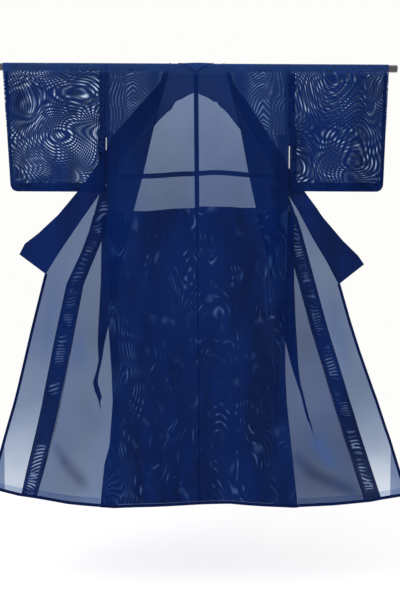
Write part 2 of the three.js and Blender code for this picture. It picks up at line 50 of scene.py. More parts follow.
# ---- the garment's sizes, mm ----
ROD_RADIUS = 12.5
ROD_GAP = 0.92  # between the rod and the solid's wall
HALF_WALL = 0.55
DRAPE_RADIUS = ROD_RADIUS + ROD_GAP + HALF_WALL  # the cloth over the rod
QUARTER = DRAPE_RADIUS * pi / 2  # of the way round it
HEM_LEVEL = -1500
HEM_CURVE_FROM = -1100
BACK_DEPTH = -8
FRONT_DEPTH = -4
HANG_FREE = -420  # from the rod down to here the cloth comes in to its own depth
LINING_STEP = 1.6  # the lining and other layers lie this far behind the back
FLAP_STEP = 1.6  # and the seam's allowance behind the overlap
BINDING_WIDTH = 16
BINDING_FROM = -22
TUCK_HEIGHT = 17
TUCK_REACH = 300
TUCK_TOP = {-1: (-350, -364, 0), 1: (-350, -358, 6)}  # its level in the middle and at its end, and its wave
LINING_TOP = -476
LINING_HEM = HEM_LEVEL + 12
LINING_LAP = 3  # over the centre seam and the side allowance
ALLOWANCE_EDGE = 272
ALLOWANCE_TOP = -226
CENTRE_LEAN = (-8, 12)  # the centre seam's x at the top and at the hem
NECK_HALF = 60
NECK_DROP = 18
RIDGE_LEVEL = 14
SIDE_SLIT = {"from": -206, "to": -490, "inset": 10, "fade_in": 30, "fade_out": 60}
SLIT_IN, SLIT_OUT, SLIT_CLEAR, SLIT_BLEND = 301, 322, -420, 52  # where the collar passes beside the sleeve
COLLAR_DEPTH = {-1: -9.5, 1: 9.5}  # the left end hangs in front of its sleeve, the right one behind it

SIDE = {  # z, side seam's distance from the middle
    -1: [(20, 313.6), (-206, 313.6), (-222, 309), (-430, 308), (-877, 304), (-1040, 293), (-1140, 289),
         (-1290, 300), (-1350, 317), (-1500, 332)],
    1: [(20, 307), (-206, 307), (-222, 309), (-430, 309), (-877, 303), (-1040, 305), (-1140, 311),
        (-1290, 328), (-1350, 335), (-1500, 353)],
}
# The front panel's pleat, which opens out towards the hem: z, turn at crease A and at crease B (degrees),
# radius, and the distances of crease A, crease B and the overlap's seam from the middle.
FRONT = {
    -1: [(14, 0, 180, 0.85, 0, 93, 99), (-20, 0, 180, 0.9, 0, 102, 109), (-133, 0, 180, 1.4, 0, 132, 141),
         (-212, 0, 180, 1.8, 0, 153, 171), (-365, 0, 180, 2, 0, 187, 236), (-476, 0, 180, 2, 0, 216, 283),
         (-490, 90, 180, 2, 0, 219, 289), (-504, 180, 180, 2, 326, 222, 295),
         (-557, 180, 180, 2, 328, 234, 317), (-736, 180, 180, 2, 331, 273, 391),
         (-877, 180, 180, 2, 339, 304, 418), (-940, 180, 180, 2, 341, 318, 430),
         (-1000, 180, 180, 2, 338, 327, 441), (-1040, 180, 180, 2, 347, 336.5, 449),
         (-1075, 180, 180, 2, 358, 342, 456), (-1105, 180, 180, 1.6, 351, 333, 462),
         (-1122, 180, 180, 1.6, 344, 328, 465), (-1138, 180, 180, 1.6, 337, 325, 468),
         (-1156, 130, 130, 1.6, 332, 328, 471), (-1180, 70, 70, 2, 330, 327, 476),
         (-1210, 30, 30, 3, 332, 330, 482), (-1240, 0, 0, 3, 336, 334, 488),
         (-1500, 0, 0, 3, 352, 350, 556)],
    1: [(14, 0, 180, 0.85, 0, 83, 89), (-20, 0, 180, 0.9, 0, 95, 102), (-133, 0, 180, 1.4, 0, 128, 137),
        (-212, 0, 180, 1.8, 0, 146, 166), (-365, 0, 180, 2, 0, 175, 226), (-476, 0, 180, 2, 0, 200, 272),
        (-490, 90, 180, 2, 0, 203, 278), (-504, 180, 180, 2, 330, 206, 284),
        (-557, 180, 180, 2, 331, 218, 302), (-736, 180, 180, 2, 333, 259, 351),
        (-877, 180, 180, 2, 340, 291, 390), (-940, 180, 180, 2, 345, 307, 409),
        (-1000, 180, 180, 2, 349, 322, 429), (-1040, 180, 180, 2, 353, 334, 441),
        (-1075, 180, 180, 2, 358, 346, 452), (-1122, 180, 180, 1.6, 371, 362, 466),
        (-1156, 180, 180, 1.6, 379, 370, 477), (-1180, 180, 180, 1.6, 386, 377, 485),
        (-1210, 180, 180, 1.6, 394, 386, 494), (-1240, 130, 130, 1.6, 401, 397, 503),
        (-1270, 70, 70, 2, 408, 405, 513), (-1300, 30, 30, 3, 414, 412, 523),
        (-1400, 0, 0, 3, 427, 424, 556), (-1500, 0, 0, 3, 440, 436, 588)],
}
OVERLAP = {  # z, outer edge of the overlap panel
    -1: [(-150, 156), (-414, 329), (-510, 399), (-597, 459), (-674, 509), (-704, 525), (-900, 574),
         (-1138, 630), (-1288, 667), (-1500, 717)],
    1: [(-150, 149), (-426, 313), (-485, 350), (-577, 401), (-650, 447), (-728, 491), (-860, 530),
        (-960, 563), (-1132, 626), (-1274, 672), (-1500, 735)],
}
COLLAR = {  # sewn edge x, z and free edge x, z from the neck to the end
    -1: [(104.5, 0, 116, 4), (113, -28, 128, -42), (129, -85, 168, -88), (144, -132, 208, -135),
         (217, -240, 284, -220), (275, -328, 326, -308), (331, -414, 396, -406), (401, -510, 478, -500),
         (461, -597, 545, -563), (498, -653, 592, -599), (526, -699, 611, -636)],
    1: [(96, 0, 107, 4), (106, -28, 120, -49), (124, -85, 160, -98), (140, -132, 200, -160),
        (205, -241, 269, -268), (258, -332, 318, -346), (315, -426, 380, -434), (352, -485, 432, -506),
        (403, -577, 500, -584), (449, -650, 552, -634), (492, -729, 573, -664)],
}
LINING_LIFTS = [  # x, and how far the upper edge lies above LINING_TOP there
    (-272, -10), (-170, -10), (-90, -2), (-30, 1), (-12, 1), (12, 7), (110, 6), (150, 3), (272, 3),
]
NECK_ARCH = [(0, -84), (40, -96), (78, -120), (112, -158), (147, -200)]
HEM = [(-720, -1445), (-615, -1473), (-449, -1498), (-282, -1513), (-150, -1508), (118, -1495), (337, -1508),
       (473, -1500), (605, -1489), (740, -1462)]
SLEEVE = {
    -1: {"armhole": 314.5, "slit": 320, "top": 662, "low": 640, "bottom": -421, "slit_from": -212},
    1: {"armhole": 308, "slit": 317, "top": 645, "low": 634, "bottom": -416, "slit_from": -195},
}
CUFF_BOTTOM = -230
SLEEVE_CORNER = 25
SLEEVE_BELLY = 5.5
SLEEVE_PINCH = 0.75
SLEEVE_CLOSES = {"belly": 250, "bottom": 55, "outer": 45, "cuff": 60}  # over such distances


# ---- small helpers ----
def clamp01(t):
    return min(1.0, max(0.0, t))


def smooth(t):
    t = clamp01(t)
    return t * t * (3 - 2 * t)


def lerp(a, b, t):
    return a + (b - a) * t


def steps(a, b, count):
    return [lerp(a, b, i / count) for i in range(count + 1)]


def look_up(table, at, column=1):
    """Value of a table's column at a key in its first column, straight between the rows."""
    sign = 1 if table[-1][0] > table[0][0] else -1
    i = 1
    while i < len(table) - 1 and (at - table[i][0]) * sign > 0:
        i += 1
    low, high = table[i - 1], table[i]
    return lerp(low[column], high[column], clamp01((at - low[0]) / (high[0] - low[0])))


# Soft creases, mm: both ends, half width, depth (towards the fronts, or less than 0 towards the back)
CREASES = [
    (-486, -1294, -452, -1353, 17, -9), (-452, -1353, -388, -1427, 19, -11),  # lower left front
    (342, -1325, 402, -1387, 20, -9), (402, -1387, 553, -1455, 24, -12), (410, -1262, 472, -1364, 28, 10),
    (-412, -920, -392, -1040, 26, 5), (-500, -760, -520, -980, 18, 4), (470, -820, 520, -1020, 22, 5),
    (-236, -560, -176, -690, 26, 2.2), (-70, -640, -120, -860, 30, -2.4), (60, -560, 132, -640, 24, 2.0),
    (176, -700, 150, -900, 34, 2.6), (-210, -980, -120, -1130, 30, -2.6), (226, -1060, 170, -1230, 26, 2.8),
    (-60, -1180, -96, -1400, 30, 3.2), (96, -1260, 60, -1440, 24, -3.0), (-250, -1290, -196, -1420, 22, 2.6),
    (-260, -260, -238, -420, 22, 1.4), (262, -240, 236, -400, 20, -1.2), (-120, -220, -104, -330, 20, 0.8),
    (-616, -70, -520, -330, 30, 1.2), (-430, -60, -380, -260, 26, -0.9), (520, -90, 470, -330, 34, 1.1),
    (392, -40, 372, -200, 20, -0.9), (606, -120, 590, -350, 22, 0.8),
]
CREASE_REACH, CREASE_FADE = 0.35, 0.6  # how far one runs past its ends, and fades, in lengths
CREASE_CUT = 3  # in half widths


def crease_depth(x, z):
    """Each crease is a soft trough along its line."""
    depth = 0.0
    for x1, z1, x2, z2, width, deep in CREASES:
        along_x, along_z = x2 - x1, z2 - z1
        length = hypot(along_x, along_z)
        t = ((x - x1) * along_x + (z - z1) * along_z) / length**2
        if -CREASE_REACH < t < 1 + CREASE_REACH:
            off = ((x - x1) * along_z - (z - z1) * along_x) / length / width
            if abs(off) < CREASE_CUT:
                ends = smooth((t + CREASE_REACH) / CREASE_FADE) * smooth((1 + CREASE_REACH - t) / CREASE_FADE)
                depth += deep * ends * exp(-off * off)
    return depth


SWAY = {"from": -600, "over": 900, "depth": 6}
SWAY_WAVES = [(47, 0.6, 0.55), (103, 2.1, 0.75)]  # mm for a radian, phase, share of the depth


def sway(x, z):
    """Soft upright folds towards the hem, shared by every layer so that none crosses another."""
    depth = SWAY["depth"] * smooth((SWAY["from"] - z) / SWAY["over"])
    waves = sum(sin(x / size + phase) * share for size, phase, share in SWAY_WAVES)
    return depth * waves + crease_depth(x, z)


def on_hem_curve(x, z):
    t = clamp01((HEM_CURVE_FROM - z) / (HEM_CURVE_FROM - HEM_LEVEL))
    return z + (look_up(HEM, x) - HEM_LEVEL) * t


def lining_top(x):
    """The seat lining's upper edge."""
    return LINING_TOP + look_up(LINING_LIFTS, x)


def hang_depth(face, z):
    """Depth of the back (face -1) or of the fronts (face 1)."""
    free = BACK_DEPTH if face < 0 else FRONT_DEPTH
    return lerp(face * DRAPE_RADIUS, free, smooth(z / HANG_FREE))


def drape_point(face, length, lift):
    """(y, z) at a length of cloth from the ridge: over the rod, then down."""
    if length < QUARTER:
        angle = pi / 2 - length / DRAPE_RADIUS
        radius = DRAPE_RADIUS + lift
        return face * radius * cos(angle), radius * sin(angle)
    z = QUARTER - length
    return hang_depth(face, z) + face * lift, z


def centre_seam(z):
    return lerp(*CENTRE_LEAN, clamp01(z / HEM_LEVEL))


# ---- mesh ----
def link(thing):
    bpy.context.collection.objects.link(thing)


def cloth(name, grids, look, replaces=(), fields=None):
    """A piece through grids of points. Each grid is rows of (x, y, z); fields are functions of a point."""
    points, faces = [], []
    for rows in grids:
        across, first = len(rows[0]), len(points)
        points += [p for row in rows for p in row]
        faces += [
            (first + v * across + u, first + v * across + u + 1,
             first + (v + 1) * across + u + 1, first + (v + 1) * across + u)
            for v in range(len(rows) - 1)
            for u in range(across - 1)
        ]
    mesh = bpy.data.meshes.new(name)
    mesh.from_pydata([tuple(c * MM for c in p[:3]) for p in points], [], faces)
    mesh.polygons.foreach_set("use_smooth", [True] * len(faces))
    for field, value in (fields or {}).items():
        layer = mesh.attributes.new(field, "FLOAT", "POINT")
        layer.data.foreach_set("value", [float(value(p)) for p in points])
    piece = bpy.data.objects.new(name, mesh)
    link(piece)
    mesh.materials.append(M[look])
    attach(piece, BODY)
    if replaces:
        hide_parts(*replaces)
    return piece


# ---- materials ----
NAVY = (0.0008, 0.0118, 0.088, 1)
NAVY_DEEP = (0.0006, 0.0062, 0.05, 1)
# painted light: the brighter navy that the lit parts of the yarn are mixed towards
NAVY_LIT = (0.022, 0.066, 0.22, 1)
TINT = (0.56, 0.72, 1.0, 1)  # what passes the yarns takes on a little of their blue
YARN = 1.7  # pitch of the warp, mm
ROW = 2.3  # pitch of the open rows, mm
TURN = 2 * pi


class Nodes:
    """Short names for the nodes of one material."""

    def __init__(self, name):
        self.material = bpy.data.materials.new(name)
        self.material.use_nodes = True
        self.tree = self.material.node_tree
        self.tree.nodes.clear()

    def add(self, kind, **inputs):
        node = self.tree.nodes.new("ShaderNode" + kind)
        for name, value in inputs.items():
            self.set(node, name, value)
        return node

    def set(self, node, name, value):
        """name is an input's own name with _ for a space, or i and its number."""
        key = int(name[1:]) if name[0] == "i" and name[1:].isdigit() else name.replace("_", " ")
        if isinstance(value, bpy.types.NodeSocket):
            self.tree.links.new(value, node.inputs[key])
        else:
            node.inputs[key].default_value = value

    def math(self, operation, a, b=0.0, c=0.0):
        node = self.add("Math", i0=a, i1=b, i2=c)
        node.operation = operation
        return node.outputs[0]

    linear = partialmethod(math, "MULTIPLY_ADD")  # value, factor, offset
    power = partialmethod(math, "POWER")
    highest = partialmethod(math, "MAXIMUM")
    size = partialmethod(math, "ABSOLUTE")
    times = partialmethod(math, "MULTIPLY")
    plus = partialmethod(math, "ADD")

    def ramp(self, value, low, high, to_low=0.0, to_high=1.0):
        node = self.add("MapRange", i0=value, i1=low, i2=high, i3=to_low, i4=to_high)
        node.interpolation_type = "SMOOTHSTEP"
        return node.outputs[0]

    def blend(self, share, a, b):
        return self.add("Mix", i0=share, i2=a, i3=b).outputs[0]

    def colours(self, share, a, b):
        node = self.add("Mix", i0=share)
        node.data_type = "RGBA"
        self.set(node, "i6", a)
        self.set(node, "i7", b)
        return node.outputs[2]

    def field(self, name):
        node = self.add("Attribute")
        node.attribute_name = name
        return node.outputs["Fac"]

    def place(self, stretch=(1, 1, 1), offset=(0, 0, 0)):
        coords = self.add("TexCoord").outputs["Object"]
        return self.add("Mapping", Vector=coords, Scale=stretch, Location=offset).outputs["Vector"]

    def noise(self, scale, detail=0.0, stretch=(1, 1, 1), seed=0.0):
        where = self.place(stretch, (seed, 0.31 * seed, 0.73 * seed))
        return self.add("TexNoise", Vector=where, Scale=scale, Detail=detail).outputs["Fac"]

    def wave(self, turns):
        """0 to 1 and back for each whole turn."""
        return self.linear(self.math("COSINE", self.times(turns, TURN)), 0.5, 0.5)

    def slope(self, per_x, per_z):
        """Turns that grow evenly along x and z, per metre."""
        apart = self.add("SeparateXYZ", Vector=self.place())
        return self.linear(apart.outputs["X"], per_x, self.times(apart.outputs["Z"], per_z))

    def contours(self, seed, scale, turns, slope=(0.0, 0.0), stretch=(1, 1, 1)):
        """Level lines of a smooth swirling height, as layered weaves show them."""
        height = self.times(self.noise(scale, 0.0, stretch, seed), turns)
        return self.wave(self.plus(height, self.slope(*slope)))

    def finish(self, surface):
        self.add("OutputMaterial", Surface=surface)
        return self.material


MOST_OPEN = 0.95  # some yarn always shows


def weave(n, depth):
    """The open rows and warp yarns at their real pitch, about 1."""
    rows = n.linear(n.wave(n.slope(0, 1 / (ROW * MM))), 2 * depth, 1 - depth)
    yarns = n.linear(n.wave(n.slope(1 / (YARN * MM), 0)), 2 * depth, 1 - depth)
    return n.times(rows, yarns)


def grain(n, per_x, per_z, depth):
    """A faint wavering hatch, where rows and warp of one layer fall in and out of step, about 1."""
    lines = n.wave(n.plus(n.slope(per_x, per_z), n.times(n.noise(9.0, 1.0, seed=3.0), 5.0)))
    return n.linear(lines, 2 * depth, 1 - depth)


def yarns(n, colour, roughness, shine, **sheen):
    """The surface of the cloth's yarns, with the weave's relief."""
    relief = n.add("Bump", Strength=0.3, Distance=0.0003, Height=weave(n, 0.5)).outputs["Normal"]
    return n.add("BsdfPrincipled", Base_Color=colour, Roughness=roughness, Specular_IOR_Level=shine,
                 Normal=relief, **sheen).outputs[0]


HATCH = (105, 95, 0.07)  # grain's per_x, per_z and depth


def gauze(name, share, pattern=None, hatch=HATCH, glow=0.0):
    """Sheer cloth. share is the light that passes between its yarns. pattern(n, share) returns a new share
    and how brightly the yarn is painted lit. glow and lit are painted light: they mix the yarn's navy towards
    NAVY_LIT."""
    n = Nodes(name)
    open_share = n.times(weave(n, 0.25), share)
    open_share = n.times(open_share, grain(n, *hatch))
    open_share = n.times(open_share, n.ramp(n.noise(5.0, 2.0), 0.3, 0.7, 0.92, 1.08))
    lit = glow
    if pattern:
        open_share, lit = pattern(n, open_share)
    # painted light: the cloth that lies over the rod is painted up to 0.42 of the way to NAVY_LIT, where it
    # catches the most light
    lit = n.highest(lit, n.ramp(n.slope(0, 1), -0.034, -0.006, 0.0, 0.42))
    cover = n.math("SUBTRACT", 1.0, n.math("MINIMUM", open_share, MOST_OPEN))
    streaks = n.noise(9.0, 4.0, (1, 1, 0.25), 1.3)
    base = n.colours(n.ramp(streaks, 0.35, 0.65), NAVY_DEEP, NAVY)
    # painted light: the yarn's navy is mixed towards NAVY_LIT by lit
    base = n.colours(lit, base, NAVY_LIT)
    sheen = {"Sheen_Weight": 0.02, "Sheen_Roughness": 0.4, "Sheen_Tint": (0.25, 0.45, 1.0, 1)}
    yarn = yarns(n, base, 0.75, 0.04, **sheen)
    wide_gap = n.ramp(open_share, 0.3, 0.9, 0.0, 0.6)
    gap = n.add("BsdfTransparent", Color=n.colours(wide_gap, TINT, (1, 1, 1, 1)))
    mix = n.add("MixShader", i0=cover, i1=gap.outputs[0], i2=yarn)
    return n.finish(mix.outputs[0])


def thread(name, colour, roughness=0.7):
    """Closed cloth or thread, with no gaps."""
    n = Nodes(name)
    return n.finish(yarns(n, colour, roughness, 0.05))


def sleeve_dashes(n, share):
    """Both walls carry the same dashes: swirling level lines, cut into strokes by a second set. Patches of
    the yarn are painted a brighter blue, more on the left: painted light.
    """
    rows = n.power(n.contours(4.1, 5.2, 40.0, (10, 22)), 2.0)
    cuts = n.power(n.contours(9.7, 5.6, 30.0, (58, 10)), 1.2)
    strokes = n.times(rows, n.linear(cuts, 0.96, 0.04))
    patches = n.ramp(n.noise(11.0, 1.0, seed=2.2), 0.34, 0.54, 0.35, 1.0)
    right = n.ramp(n.slope(1, 0), 0.0, 0.5)
    strength = n.times(patches, n.linear(right, -0.8, 1.7))
    # painted light: patches of the yarn painted brighter blue, strongest on the left and fading towards the
    # right
    painted_light = n.ramp(n.noise(4.0, 1.0, seed=7.7), 0.35, 0.62, 0.0, 0.14)
    lit = n.times(painted_light, n.linear(right, -0.7, 1.0))
    return n.plus(share, n.times(strokes, strength)), lit


ARCH_APEX = 0.222  # where the arches stand highest, from the middle, m


def shoulder_arcs(n, share):
    """Nested arches between armhole and collar, with upright dashes beside them, added to the share."""
    reach = n.size(n.slope(1, 0))
    from_apex = n.size(n.plus(reach, -ARCH_APEX))
    fall = n.times(n.power(n.plus(from_apex, 0.004), 1.25), -155.0)
    swirl = n.times(n.noise(12.0, 0.0, seed=1.7), 5.0)
    arches = n.power(n.wave(n.plus(n.plus(fall, n.slope(0, -64)), swirl)), 2.6)
    cut = n.wave(n.plus(n.slope(4, 150), n.times(n.noise(14.0, 0.0, seed=6.1), 6.0)))
    columns = n.times(n.power(n.wave(n.plus(n.times(reach, 78.0), swirl)), 2.2), cut)
    outer = n.ramp(reach, 0.236, 0.25)
    fade = n.ramp(reach, 0.14, 0.19)
    arcs = n.times(n.blend(outer, arches, columns), n.times(fade, n.linear(cut, 0.35, 0.65)))
    return n.plus(n.times(share, 0.4), n.times(arcs, 0.6))


def back_look(n, share):
    """One layer in the window, arches at the shoulders, and faint lines where the lining lies behind. The
    lines, the shoulders and the cloth above the lining are also painted a brighter blue: painted light.
    """
    shoulder = n.ramp(n.field("above_collar"), 0.0, 0.005)
    lined = n.ramp(n.field("below_lining"), 0.0, 0.003)
    # painted light: more light passes higher in the window, the share scaled from 0.78 low down to 1.14 near
    # the rod
    at_window = n.times(share, n.ramp(n.slope(0, 1), -0.48, -0.09, 0.78, 1.14))
    upper = n.blend(shoulder, at_window, shoulder_arcs(n, share))
    wisps, fine = lower_wisps(n)
    lower = n.plus(n.times(share, 0.5), n.times(wisps, 0.28))
    # painted light: the wisps and fine lines over the lining are painted brighter blue, the shoulders by 0.16
    # and the rest above the lining by 0.05
    lights = n.times(lined, n.plus(n.times(wisps, 0.85), n.times(fine, 0.45)))
    painted_light = n.highest(n.times(shoulder, 0.16), n.times(n.math("SUBTRACT", 1.0, lined), 0.05))
    return n.blend(lined, upper, lower), n.highest(lights, painted_light)


def lower_wisps(n):
    """Long faint level lines over the lower body, and closer ones along its sides."""
    lines = n.power(n.contours(7.9, 6.5, 15.0, (24, 0), (1.5, 1, 0.6)), 9.0)
    cuts = n.power(n.contours(2.9, 7.0, 9.0, (6, 12), (1, 1, 0.8)), 1.5)
    here = n.ramp(n.noise(15.0, 1.5, (1.25, 1, 0.7), 5.5), 0.5, 0.7)
    soft = n.times(n.ramp(n.noise(22.0, 1.0, (1.2, 1, 0.6), 3.1), 0.62, 0.8), 0.4)
    fine = n.power(n.contours(3.3, 7.0, 16.0, (84, 0), (1.4, 1, 0.8)), 3.5)
    across = n.slope(1, 0)
    side = n.times(n.ramp(n.size(across), 0.19, 0.25), n.ramp(across, -0.1, 0.1, 1.0, 0.5))
    there = n.ramp(n.noise(10.0, 1.5, (1, 1, 0.6), 8.8), 0.42, 0.6)
    wisps = n.highest(n.times(n.times(lines, cuts), here), soft)
    return wisps, n.times(fine, n.times(side, there))


def lining_look(n, share):
    wisps, fine = lower_wisps(n)
    # painted light: the wisps and fine lines are also painted brighter blue
    return n.plus(share, n.times(wisps, 0.3)), n.plus(n.times(wisps, 0.5), n.times(fine, 0.25))


def in_creases(n, share):
    """Painted shade and light in the folds: every fold is painted with up to half less light between its
    yarns, so more yarn shows, as if it turned from the light, and folds that lie deeper, towards the fronts,
    are painted a brighter blue, as if they turned towards it.
    """
    crease = n.field("crease")
    turned = n.math("MINIMUM", n.size(crease), 1.0)
    share = n.times(share, n.math("SUBTRACT", 1.0, n.times(turned, 0.5)))
    return share, n.times(n.highest(crease, 0.0), 0.9)


def front_look(n, share):
    share, lit = in_creases(n, share)
    shoulder = n.times(n.ramp(n.field("above_collar"), 0.0, 0.005), n.field("first_layer"))
    # painted light: the share is scaled per level to stand in for the light behind the cloth
    backlit_share = n.times(share, n.field("painted_backlight"))
    return n.blend(shoulder, backlit_share, shoulder_arcs(n, share)), lit


def overlap_look(n, share):
    share, lit = in_creases(n, share)
    # painted light: the share is scaled per level to stand in for the light behind the cloth
    return n.times(share, n.field("painted_backlight")), lit


def band_look(n, share):
    """Short rungs across the seam's allowance, in patches."""
    rungs = n.power(n.wave(n.plus(n.slope(6, 82), n.times(n.noise(11.0, 0.0, seed=4.0), 6.0))), 3.0)
    patches = n.ramp(n.noise(16.0, 2.0, (0.5, 1, 1), 6.6), 0.43, 0.62)
    inside = n.times(n.ramp(n.field("across"), 0.18, 0.34), n.ramp(n.field("across"), 0.84, 0.66))
    spots = n.ramp(n.noise(42.0, 0.0, seed=1.9), 0.64, 0.74, 0.0, 0.6)
    marks = n.times(n.times(n.highest(rungs, spots), patches), inside)
    return n.plus(share, n.times(marks, 0.85)), 0.0


GAUZES = {  # the light that passes between the yarns, then gauze's pattern, hatch and glow; glow is painted light, a brighter blue on the side allowances and the armhole seam
    "sleeve": (0.07, sleeve_dashes), "back": (0.234, back_look, (14, 128, 0.07)),
    "front": (0.216, front_look), "lining": (0.06, lining_look), "overlap": (0.234, overlap_look),
    "band": (0.035, band_look), "layered": (0.04,), "side": (0.04, None, HATCH, 0.1), "collar": (0.005,),
    "neck": (0.085,), "turn": (0.82,), "corner": (0.48,), "seam": (0.05, None, HATCH, 0.25),
}
M = {look: gauze("gauze_" + look, *how) for look, how in GAUZES.items()}
M["rolled"] = thread("gauze_rolled", NAVY_DEEP)
# painted highlight: a brighter navy for the side folds, as if their edge caught the light
M["edge_lit"] = thread("gauze_edge_lit", (0.0015, 0.017, 0.12, 1), 0.6)
SLOTS = {"rod": "rod_wood", **dict.fromkeys(("sleeve", "back", "front", "lining", "overlap"), "gauze")}


# ---- fields of a point, in metres ----
COLLAR_START = 12  # past the neck, mm


def side_of(x):
    return -1 if x < 0 else 1


def above_collar(p):
    """Distance above the collar's free edge; -1 behind the neck."""
    table = [(row[2], row[3]) for row in COLLAR[side_of(p[0])]]
    if abs(p[0]) < table[0][0] + COLLAR_START:
        return -1
    return (p[2] - look_up(table, abs(p[0]))) * MM


def below_lining(p):
    return (lining_top(p[0]) - p[2]) * MM


BACKLIGHT_SCALE = {  # painted light, standing in for brighter light behind the lower cloth: how much more light passes towards the hem: level, overlap panel, front panel
    -1: [(-300, 1.0, 1.0), (-900, 1.02, 1.0), (-1150, 1.5, 1.02), (-1300, 2.2, 1.12), (-1420, 3.1, 1.25),
         (-1500, 3.3, 1.3)],
    1: [(-300, 1.0, 0.92), (-900, 1.06, 0.78), (-1150, 1.3, 0.76), (-1300, 2.15, 0.62), (-1420, 3.6, 0.64),
        (-1500, 3.9, 0.72)],
}
DEEP_CREASE = 12  # painted at full strength


def crease_field(p):
    return crease_depth(p[0], p[2]) / DEEP_CREASE


def backlight_field(column):
    return lambda p: look_up(BACKLIGHT_SCALE[side_of(p[0])], p[2], column)


# ---- back panels ----
OVER_ROD = [t * QUARTER / 8 for t in range(8)]
FINE_LEVELS = [-i * 12.0 for i in range(126)]
SEAM_HIDE = 0.45  # a seam's layers lie this far apart, mm


def neck_cut(x):
    from_centre = abs(x - centre_seam(0)) / NECK_HALF
    return max(0.0, (QUARTER + NECK_DROP) * (1 - from_centre))


def make_back(name, side):
    """From the ridge over the rod, or from the neck's V, down to the hem."""
    lengths = OVER_ROD + [QUARTER - z for z in FINE_LEVELS]
    rows = []
    for length in lengths:
        level = QUARTER - length
        row = []
        for u in steps(0, 1, 44):
            x = lerp(centre_seam(level), side * look_up(SIDE[side], level), u)
            placed = max(length, neck_cut(x) + length * 0.01)
            y, z = drape_point(-1, placed, 0)
            row.append((x, y + sway(x, z), on_hem_curve(x, z)))
        rows.append(row)
    fields = {"above_collar": above_collar, "below_lining": below_lining}
    return cloth("back_panel_" + name, [rows], "back", ["back_" + name], fields)


def behind_back(x, z, step=LINING_STEP):
    """A point of a layer that lies a step behind the back."""
    return x, hang_depth(-1, z) + step + sway(x, z), on_hem_curve(x, z)


def make_binding():
    """The bound allowance of the centre-back seam, which ends at the lining."""
    rows = [[behind_back(centre_seam(z) + u * BINDING_WIDTH / 2, z) for u in (-1, 0, 1)]
            for z in steps(BINDING_FROM, LINING_TOP - 6, 60)]
    return cloth("centre_binding", [rows], "layered", ["seam_binding"])


def make_tuck(name, side):
    """The folded waist tuck, a level band that wavers a little."""
    middle, end, wave = TUCK_TOP[side]
    rows = []
    for v in steps(0, 1, 3):
        row = []
        for d in steps(BINDING_WIDTH / 2 - 3, TUCK_REACH, 40):
            top = lerp(middle, end, d / TUCK_REACH) + wave * sin(d / 64) + 1.2 * sin(d / 31)
            row.append(behind_back(centre_seam(top) + side * d, top - v * TUCK_HEIGHT))
        rows.append(row)
    return cloth("waist_tuck_band_" + name, [rows], "layered", ["waist_tuck_" + name])


def make_lining(name, side):
    """Behind the back, from a nearly level edge below the tuck to the hem."""
    rows = []
    for v in steps(0, 1, 84):
        middle = centre_seam(lerp(LINING_TOP, LINING_HEM, v)) - side * LINING_LAP
        across = [lerp(middle, side * (ALLOWANCE_EDGE + LINING_LAP), u) for u in steps(0, 1, 36)]
        rows.append([behind_back(x, lerp(lining_top(x), LINING_HEM, v)) for x in across])
    return cloth("seat_lining_cloth_" + name, [rows], "lining", ["seat_lining_" + name])


def make_side_allowance(name, side):
    """From the armhole to the hem, a little behind the lining."""
    rows = []
    for z in steps(ALLOWANCE_TOP, HEM_LEVEL + 2, 104):
        across = [side * lerp(ALLOWANCE_EDGE, look_up(SIDE[side], z) - 1, u) for u in steps(0, 1, 4)]
        rows.append([behind_back(x, z, LINING_STEP + SEAM_HIDE) for x in across])
    return cloth("side_allowance_" + name, [rows], "side", ["side_seam_" + name])


# ---- front panels ----
SHORT_LEG = 3
TURN_POINTS = 6
LEAST_STEP = 0.3
FLAT_FOLD = 179


def front_section(side, z):
    """[(distance from the middle, depth behind the first layer, leg)], from the side seam to the overlap's.

    The pen walks the first leg, turns back at crease A, walks the second, and turns out again at crease B."""
    turn_a, turn_b, radius, crease_a, crease_b, seam = (look_up(FRONT[side], z, c) for c in range(1, 7))
    gap = min(smooth((SIDE_SLIT["from"] - z) / SIDE_SLIT["fade_in"]),
              smooth((z - SIDE_SLIT["to"]) / SIDE_SLIT["fade_out"]))
    start = look_up(SIDE[side], z) - SIDE_SLIT["inset"] * gap
    pen = [start, 0.0, radians(turn_b - turn_a)]
    points = [(start, 0.0, 1)]

    def walk(length, count, leg):
        for _ in range(count):
            pen[0] += length / count * cos(pen[2])
            pen[1] += length / count * sin(pen[2])
            points.append((pen[0], pen[1], leg))

    def turn(angle, leg):
        half = radians(angle) / TURN_POINTS / 2
        chord = max(LEAST_STEP, 2 * radius * sin(abs(half)))
        for _ in range(TURN_POINTS):
            pen[2] += half
            walk(chord, 1, leg)
            pen[2] += half

    opening = turn_b < FLAT_FOLD
    if turn_a > FLAT_FOLD:
        first = crease_a - radius - start
    else:
        first = crease_a - start if opening else SHORT_LEG
    walk(first, 4, 1)
    turn(turn_a, 1)
    walk(SHORT_LEG if opening else pen[0] - crease_b - radius, 12, 2)
    turn(-turn_b, 2)
    walk(seam - pen[0], 20, 3)
    return points


def front_point(side, x, d, z):
    return side * x, hang_depth(1, z) + d + sway(side * x, z), on_hem_curve(side * x, z)


def make_front(name, side):
    """From the ridge over the rod, then down to the hem with its pleat."""
    rows = []
    section = front_section(side, RIDGE_LEVEL)
    for length in OVER_ROD:
        rows.append([(side * x, *drape_point(1, length, d), 0) for x, d, _leg in section])
    for z in FINE_LEVELS:
        section = front_section(side, z)
        rows.append([(*front_point(side, x, d, z), 1 if leg < 3 else 0) for x, d, leg in section])
    fields = {"above_collar": above_collar, "first_layer": lambda p: p[3], "painted_backlight": backlight_field(2),
              "crease": crease_field}
    return cloth("front_panel_" + name, [rows], "front", ["front_" + name], fields)


